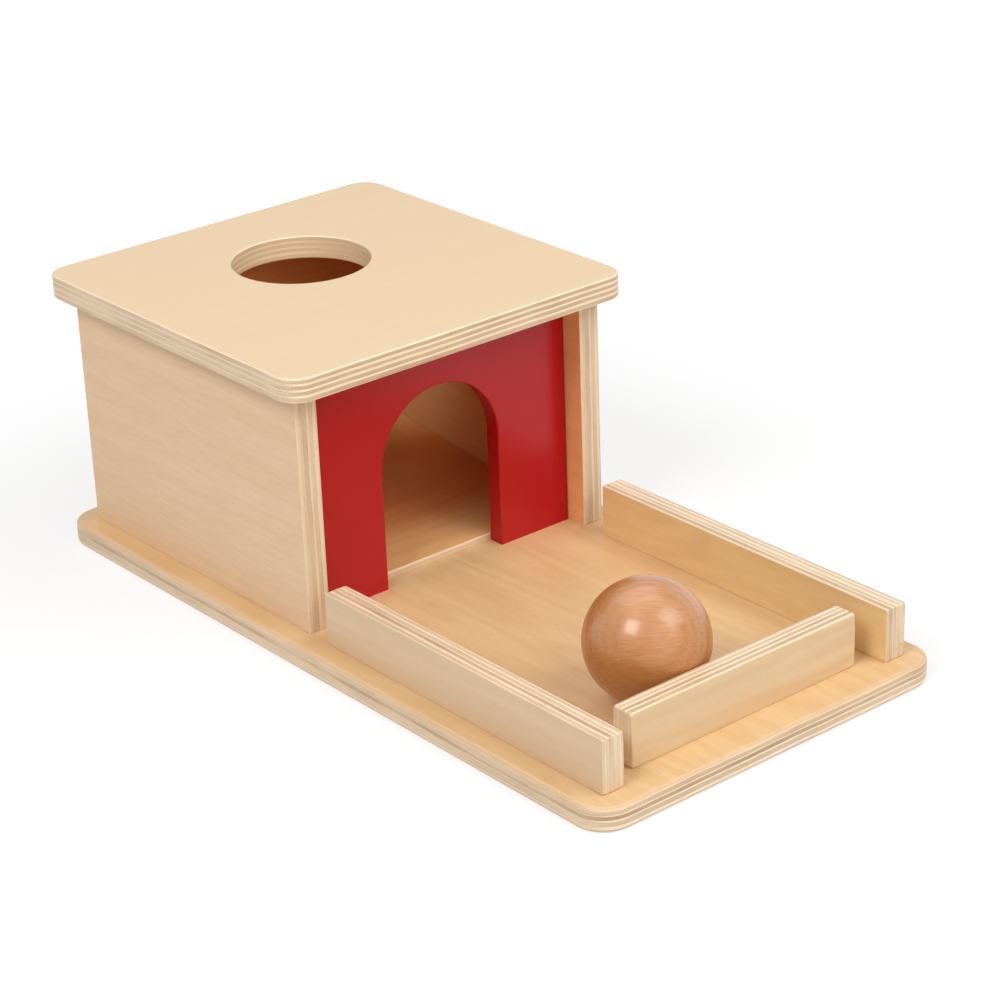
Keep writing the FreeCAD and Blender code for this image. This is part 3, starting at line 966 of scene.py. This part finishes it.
@dataclass
class Boards:
    """The plain sawn boards: side walls, back and rails, each with sanded edges.

    Corner is the share by which the rounding grows at a board's corners, and the boards
    that are named in worn_corners were sanded harder there.
    """

    ply: Plywood
    ease: float = 0.35 * MM
    wobble: float = 0.25
    corner: float = 0.4
    worn_corners: dict[str, float] = field(default_factory=lambda: {
        "end_rail": 2.4, "side_rail_left": 1.6,
    })
    bend: int = 9
    pitch: float = 8 * MM
    lays: dict[str, Lay] = field(default_factory=lambda: {
        "box_side_left": Lay(
            Axis.Y, Axis.Z, Axis.X, WALL_VENEERS, 2,
            Face("#E8C8A4", "#DBB58C", streak=1.4, band=0.9, figure=0.0, fleck=0.16), DEEP_PAINTED_SHADE,
        ),
        "box_side_right": Lay(Axis.Y, Axis.Z, Axis.X, WALL_VENEERS, 3, WARM_PAINTED_SHADE, CREAM),
        "box_back": Lay(Axis.X, Axis.Z, Axis.Y, WALL_VENEERS, 4, DEEP_PAINTED_SHADE, CREAM),
        "side_rail_left": Lay(
            Axis.Y, Axis.Z, Axis.X,
            ((0.7, 0.25), (1.3, 0.45), (1.3, 0.1), (1.4, 0.8), (0.8, 0.1), (1.4, 0.45), (1.1, 0.1),
             (1.0, 0.3), (1.0, 0.15)),
            5,
            Face("#E0C5A4", "#D4B592", streak=0.3, band=0.9, figure=0.15, fleck=0.12),
            Face("#EBCA9D", "#DFB789", streak=0.5, band=0.6, figure=0.2),
            # darker painted shade on the rounded edges
            sanded=0.4, painted_rim="#D6B48C", glue_seen=0.95, end_seen=0.65,
        ),
        "side_rail_right": Lay(
            Axis.Y, Axis.Z, Axis.X,
            ((1.4, 0.3), (1.5, 0.8), (1.1, 0.1), (0.8, 0.45), (1.8, 0.1), (1.1, 0.4), (1.1, 0.0),
             (0.7, 0.4), (0.5, 0.2)),
            6,
            Face("#EBCD97", "#DCB77F", streak=0.5, band=0.7, figure=0.3, fleck=0.16),
            CREAM,
            # darker painted shade on the rounded edges
            sanded=0.4, painted_rim="#D6B48C", glue_seen=0.85,
        ),
        "end_rail": Lay(
            Axis.X, Axis.Z, Axis.Y,
            ((1.2, 0.0), (1.6, 0.75), (1.2, 0.0), (1.3, 0.75), (1.2, 0.05), (1.2, 0.45), (1.2, 0.0),
             (0.7, 0.45), (0.4, 0.4)),
            # darker painted shade on the rounded edges
            7, END_RAIL, END_RAIL, sanded=0.3, painted_rim="#DCBB92", glue_seen=0.95, end_seen=0.4,
        ),
    })

    def build(self) -> None:
        """Build every plain board and dress it."""
        for node, lay in self.lays.items():
            low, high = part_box(node)
            sides = rounded_block(
                low, high, self.ease, self.wobble, lay.seed, self.bend, self.pitch,
                self.worn_corners.get(node, self.corner),
            )
            seat(welded_piece(f"{node}_board", sides), node, self.ply.material(node, lay))


@dataclass
class Lid:
    """The lid: a board with round corners and the round hole that the ball drops through."""

    ply: Plywood
    node: str = "box_lid"
    corner_radius: float = 10 * MM
    edge_round: float = 1.0 * MM
    hole_radius: float = 28.75 * MM
    hole_round: float = 0.8 * MM
    hole_rear_distance: float = 64.5 * MM
    bend: int = 6
    corner_steps: int = 18
    pitch: float = 2 * MM
    strips: int = 14
    lay: Lay = Lay(
        Axis.X, Axis.Y, Axis.Z,
        ((0.8, 0.0), (1.3, 0.66), (1.2, 0.0), (1.2, 0.6), (1.2, 0.0), (1.2, 0.66), (1.2, 0.0),
         (1.3, 0.66), (0.6, 0.0)),
        1,
        CREAM,
        Face("#E9CCA5", "#E2C399", streak=0.28, band=0.4, figure=0.08, fleck=0.06),
        # pale painted highlight on the rounded edges, partly sanded wood
        sanded=0.4,
    )

    def build(self) -> None:
        """Build the lid as a ring from its hole to its outer edge, and dress it."""
        low, high = (np.array(corner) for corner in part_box(self.node))

        def outer(drawn_in: float) -> np.ndarray:
            """The lid's outline, drawn in."""
            return rounded_outline(
                low[:2], high[:2], self.corner_radius, drawn_in, self.corner_steps, self.pitch
            )

        centre = np.array([(low[0] + high[0]) / 2, high[1] - self.hole_rear_distance])
        toward = outer(0.0) - centre
        toward /= np.linalg.norm(toward, axis=1, keepdims=True)

        def hole(widened: float) -> np.ndarray:
            """The hole's circle, with its points in line with the outline's."""
            return centre + (self.hole_radius + widened) * toward

        section = board_section(
            high[2] - low[2], self.hole_round, self.edge_round, self.bend, self.strips
        )
        grid = ringed_board(hole, outer, section, (low[2], high[2]), Axis.Z)
        piece = welded_piece(f"{self.node}_board", [grid], (True, True))
        reach = self.hole_radius + self.hole_round
        wall = [math.dist(vertex.co[:2], centre) < reach for vertex in piece.data.vertices]
        piece.data.attributes.new(ROUTED, "FLOAT", "POINT").data.foreach_set("value", wall)
        seat(piece, self.node, self.ply.material(self.node, self.lay))


@dataclass
class ArchPanel:
    """The painted front panel, with its doorway: two straight legs and a half-round top."""

    paint: SatinPaint
    node: str = "arch_panel"
    arch_radius: float = 29.5 * MM
    header: float = 20.5 * MM
    edge_round: float = 0.6 * MM
    bend: int = 4
    leg_steps: int = 12
    arch_steps: int = 24
    strips: int = 10

    def build(self) -> None:
        """Build the panel along its doorway, from one foot to the other, and paint it."""
        low, high = (np.array(corner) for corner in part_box(self.node))
        middle = (low[0] + high[0]) / 2
        half_width = (high[0] - low[0]) / 2
        spring = high[2] - self.header - self.arch_radius
        corner = math.atan2(high[2] - spring, half_width)
        right = np.linspace(0, corner, self.arch_steps)
        over = np.linspace(corner, math.pi - corner, 2 * self.arch_steps)
        angle = np.concatenate([right, over[1:-1], math.pi - right[::-1]])
        cos, sin = np.cos(angle), np.sin(angle)
        climb = np.linspace(low[2], spring, self.leg_steps)[:-1]

        def with_legs(half_gap: float, x: np.ndarray, z: np.ndarray) -> np.ndarray:
            """Stand the points of an arch on two upright legs.

            Args:
                half_gap: How far each leg stands from the middle.
                x: How far each point of the arch lies from the middle.
                z: How high it lies over the legs.

            Returns:
                Points in the panel's plane, up the right leg and down the left one.
            """
            leg = np.full(climb.size, half_gap)
            return np.stack([
                middle + np.concatenate([leg, x, -leg]),
                np.concatenate([climb, spring + z, climb[::-1]]),
            ], axis=1)

        def inner(widened: float) -> np.ndarray:
            """The doorway's outline, widened."""
            radius = self.arch_radius + widened
            return with_legs(radius, radius * cos, radius * sin)

        def outer(drawn_in: float) -> np.ndarray:
            """The panel's sides and top, in line with the doorway's points.

            Args:
                drawn_in: How far inside the panel's edges the outline runs.

            Returns:
                Points in the panel's plane.
            """
            side, top = half_width - drawn_in, high[2] - spring - drawn_in
            least = 1e-9
            reach = np.minimum(side / np.maximum(np.abs(cos), least), top / np.maximum(sin, least))
            return with_legs(side, reach * cos, reach * sin)

        section = board_section(
            high[1] - low[1], self.edge_round, self.edge_round, self.bend, self.strips
        )
        grid = ringed_board(inner, outer, section, (low[1], high[1]), Axis.Y)
        grids = [grid, np.stack([grid[:, -1], grid[:, 0]], axis=1), foot(grid, 0), foot(grid, -1)]
        piece = welded_piece(f"{self.node}_board", grids)
        seat(piece, self.node, self.paint.material())


@dataclass
class Ramp:
    """The thin sloping board inside the box, its ends cut upright."""

    ply: Plywood
    node: str = "ramp_board"
    thickness: float = 3 * MM
    ease: float = 0.3 * MM
    wobble: float = 0.3
    bend: int = 3
    pitch: float = 8 * MM
    veneers: tuple[tuple[float, float], ...] = ((1.0, 0.25), (1.0, 0.1), (1.0, 0.0))
    seed: int = 9

    def build(self) -> None:
        """Build a level board, slope it by z + slope * (y - front) and dress it."""
        low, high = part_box(self.node)
        slope = (high.z - low.z - self.thickness) / (high.y - low.y)
        level_high = Vector((high.x, high.y, low.z + self.thickness))
        sides = rounded_block(
            low, level_high, self.ease, self.wobble, self.seed, self.bend, self.pitch
        )
        for grid in sides:
            grid[..., 2] += slope * (grid[..., 1] - low.y)
        piece = welded_piece(f"{self.node}_sheet", sides)
        # Both faces take the warm painted shade, and a band of painted shade darkens the middle of
        # the ramp's depth.
        lay = Lay(
            Axis.X, Axis.Y, Axis.Z, self.veneers, self.seed, WARM_PAINTED_SHADE, WARM_PAINTED_SHADE,
            tilt=-math.atan(slope), painted_shade_band=(6.0, 44.0, 72.0, 108.0),
        )
        seat(piece, self.node, self.ply.material(self.node, lay))


@dataclass
class Ball:
    """The turned beech ball, with the flat-sawn side of its grain towards the camera."""

    beech: Beech
    node: str = "ball"
    bend: int = 28
    grain: Vector = field(default_factory=lambda: Vector((0.775, -0.632, 0.0)))
    outward: Vector = field(default_factory=lambda: Vector((-0.55, -0.68, 0.48)))

    def build(self) -> None:
        """Build the ball as a cube whose every point is drawn in to the ball's radius."""
        low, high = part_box(self.node)
        radius = (high.x - low.x) / 2
        sides = rounded_block(low, high, radius, 0.0, 0.0, self.bend, radius)
        piece = welded_piece("ball_turned", sides)
        material = self.beech.material(self.node, self.grain, self.outward)
        seat(piece, self.node, material, BALL_BODY)


@dataclass
class Base:
    """The base board, whose countersinks are kept as they were drilled."""

    ply: Plywood
    node: str = "base_board"
    lay: Lay = Lay(
        Axis.Y, Axis.X, Axis.Z,
        ((1.4, 0.5), (1.4, 0.0), (1.6, 0.48), (0.9, 0.1), (1.3, 0.95), (0.8, 0.25), (1.3, 0.6),
         (0.8, 0.05), (0.5, 0.05)),
        8,
        CREAM,
        Face("#E6C394", "#D8AE7A", streak=1.1, band=0.45, figure=0.35, fleck=0.24),
        # darker painted shade on the rounded edges
        sanded=0.6, painted_rim="#CBA57C",
    )

    def build(self) -> None:
        """Dress the base board."""
        dress_node(self.node, self.ply.material(self.node, self.lay))


@dataclass
class Fixings:
    """Screws, dowels and the ramp's wedges and cleat, nearly all out of sight."""

    beech: Beech
    steel: PlatedSteel
    upright: tuple[str, ...] = ("dowels",)
    lying: tuple[str, ...] = ("wedge", "cleat")

    def build(self) -> None:
        """Dress every fixing by the word in its name."""
        plating = self.steel.material()
        for node in sorted(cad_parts):
            if "screws" in node:
                dress_node(node, plating)
            elif any(word in node for word in self.upright):
                dress_node(node, self.beech.material(node, Vector((0, 0, 1)), Vector((1, 0, 0))))
            elif any(word in node for word in self.lying):
                dress_node(node, self.beech.material(node, Vector((0, 1, 0)), Vector((0, 0, 1))))


@dataclass(frozen=True)
class Lamp:
    """One square softbox: where it stands as seen from the object, its side and its watts.

    One that doesn't light the object only shows in its shine.
    """

    direction: tuple[float, float, float]
    distance: float
    side: float
    power: float
    lights: bool = True


@dataclass
class Studio:
    """Plain studio: camera, softboxes all round, a white floor and a white room.

    Two softboxes, left and right, give the ball its two highlights. The sheen is seen in
    the shine of the lid and of the ball's top. The others are large and weak, and only
    lift the shadows.
    """

    azimuth: float = math.radians(-39.17)
    elevation: float = math.radians(24.48)
    roll: float = math.radians(-2.19)
    distance: float = 1117.28 * MM
    target: Vector = field(default_factory=lambda: Vector((2.0, -14.73, 50.0)) * MM)
    focal_pixels: float = 2855.63
    sensor: float = 36.0
    clip: tuple[float, float] = (0.05, 50.0)  # nearest and farthest that the camera sees
    floor_side: float = 12.0
    floor_drop: float = 0.05 * MM  # keeps the floor clear of the face that stands on it
    floor_glow: tuple[float, float] = (0.56, 0.97)  # how much of the floor shows plain white
    floor_span: tuple[float, float] = (0.2, 0.75)  # near the object, and far from it
    paper: float = 0.78  # how much light the floor gives back
    glow: float = 1.2
    ambient: float = 0.08
    lamps: dict[str, Lamp] = field(default_factory=lambda: {
        "left_softbox": Lamp((-0.695, -0.16, 0.715), 2.4, 0.95, 29.5),
        "right_softbox": Lamp((0.34, -0.585, 0.74), 1.8, 1.0, 13.3),
        "front_fill": Lamp((-0.575, -0.706, 0.6), 2.0, 1.6, 2.8),
        "high_fill": Lamp((0.0, -0.77, 0.62), 2.0, 1.8, 6.3),
        "low_fill": Lamp((-0.1, -0.94, 0.32), 2.0, 1.8, 6.3),
        "overhead": Lamp((0.0, 0.1, 1.0), 1.8, 2.2, 4.4),
        "right_fill": Lamp((1.0, -0.05, 0.35), 2.0, 1.8, 4.6),
        "rear_fill": Lamp((-0.45, 0.8, 0.45), 2.0, 1.8, 4.5),
        "sheen": Lamp((0.1, 0.25, 0.96), 1.6, 1.6, 15.0, lights=False),
    })

    def camera(self) -> None:
        """Stand the camera where the photograph was taken from."""
        back = Vector((
            math.sin(self.azimuth) * math.cos(self.elevation),
            -math.cos(self.azimuth) * math.cos(self.elevation),
            math.sin(self.elevation),
        ))
        right = (-back).cross(Vector((0, 0, 1))).normalized()
        up = right.cross(-back)
        tilted_right = right * math.cos(self.roll) + up * math.sin(self.roll)
        tilted_up = up * math.cos(self.roll) - right * math.sin(self.roll)
        data = bpy.data.cameras.new("camera")
        data.sensor_width = self.sensor
        data.lens = self.focal_pixels * self.sensor / PICTURE_SIDE
        data.clip_start, data.clip_end = self.clip
        data.dof.use_dof = False
        camera = bpy.data.objects.new("camera", data)
        turn = Matrix((tilted_right, tilted_up, back)).transposed().to_4x4()
        camera.matrix_world = Matrix.Translation(self.target + back * self.distance) @ turn
        bpy.context.scene.collection.objects.link(camera)
        bpy.context.scene.camera = camera

    def hang(self, name: str, lamp: Lamp) -> None:
        """Hang one softbox that faces the object.

        Args:
            name: The softbox's name.
            lamp: Its place, size and power.
        """
        direction = Vector(lamp.direction).normalized()
        data = bpy.data.lights.new(name, "AREA")
        data.shape = "SQUARE"
        data.size = lamp.side
        data.energy = lamp.power
        softbox = bpy.data.objects.new(name, data)
        softbox.rotation_mode = "QUATERNION"
        softbox.location = self.target + direction * lamp.distance
        softbox.rotation_quaternion = direction.to_track_quat("Z", "Y")
        softbox.visible_diffuse = lamp.lights
        bpy.context.scene.collection.objects.link(softbox)

    def shown(self, tree: NodeTree) -> NodeSocket:
        """Tell the rays that see the room from the rays that light the object.

        Args:
            tree: The node tree of the floor or the world.

        Returns:
            1 for rays from the camera, in shine and through glass, and otherwise 0.
        """
        seen = add(tree, "LightPath", {}).node.outputs
        shown = add(tree, "Math", {
            0: seen["Is Camera Ray"], 1: seen["Is Glossy Ray"],
        }, operation="MAXIMUM")
        return add(tree, "Math", {0: shown, 1: seen["Is Transmission Ray"]}, operation="MAXIMUM")

    def floor(self) -> None:
        """Lay the white floor, which keeps the object's shadow."""
        half = self.floor_side / 2
        mesh = bpy.data.meshes.new("floor")
        low = -self.floor_drop
        corners = [(-half, -half, low), (half, -half, low), (half, half, low), (-half, half, low)]
        mesh.from_pydata(corners, [], [(0, 1, 2, 3)])
        floor = bpy.data.objects.new("floor", mesh)
        bpy.context.scene.collection.objects.link(floor)
        material = new_material("white_floor")
        tree = material.node_tree
        place = add(tree, "TexCoord", {}).node.outputs["Object"]
        off = add(tree, "VectorMath", {0: place}, operation="LENGTH").node.outputs["Value"]
        (near, far), (start, end) = self.floor_glow, self.floor_span
        share = add(tree, "MapRange", {0: off, 1: start, 2: end, 3: near, 4: far})
        shown = add(tree, "Math", {0: self.shown(tree), 1: share}, operation="MULTIPLY")
        paper = add(tree, "BsdfDiffuse", {"Color": (self.paper,) * 3 + (1.0,)})
        glow = add(tree, "Emission", {"Color": (1.0,) * 4, "Strength": self.glow})
        shader = add(tree, "MixShader", {0: shown, 1: paper, 2: glow})
        add(tree, "OutputMaterial", {"Surface": shader})
        dress(floor, material)

    def world(self) -> None:
        """Light everything softly from all round, and show white behind the object."""
        world = bpy.data.worlds.new("world")
        world.use_nodes = True
        tree = world.node_tree
        tree.nodes.clear()
        white = (1.0,) * 4
        dim = add(tree, "Background", {"Color": white, "Strength": self.ambient})
        room = add(tree, "Background", {"Color": white, "Strength": 1.0})
        shader = add(tree, "MixShader", {0: self.shown(tree), 1: dim, 2: room})
        add(tree, "OutputWorld", {"Surface": shader})
        bpy.context.scene.world = world

    def build(self) -> None:
        """Set up the whole studio."""
        self.camera()
        for name, lamp in self.lamps.items():
            self.hang(name, lamp)
        self.floor()
        self.world()
        bpy.context.scene.view_settings.view_transform = "Standard"


def main() -> None:
    """Build and dress every piece, then set up the studio."""
    logging.basicConfig(level=logging.INFO, format="%(name)s: %(message)s")
    ply, beech = Plywood(), Beech()
    pieces = (
        Base(ply), Boards(ply), Lid(ply), ArchPanel(SatinPaint()), Ramp(ply), Ball(beech),
        Fixings(beech, PlatedSteel()), Studio(),
    )
    for piece in pieces:
        piece.build()


if __name__ == "__main__":
    main()
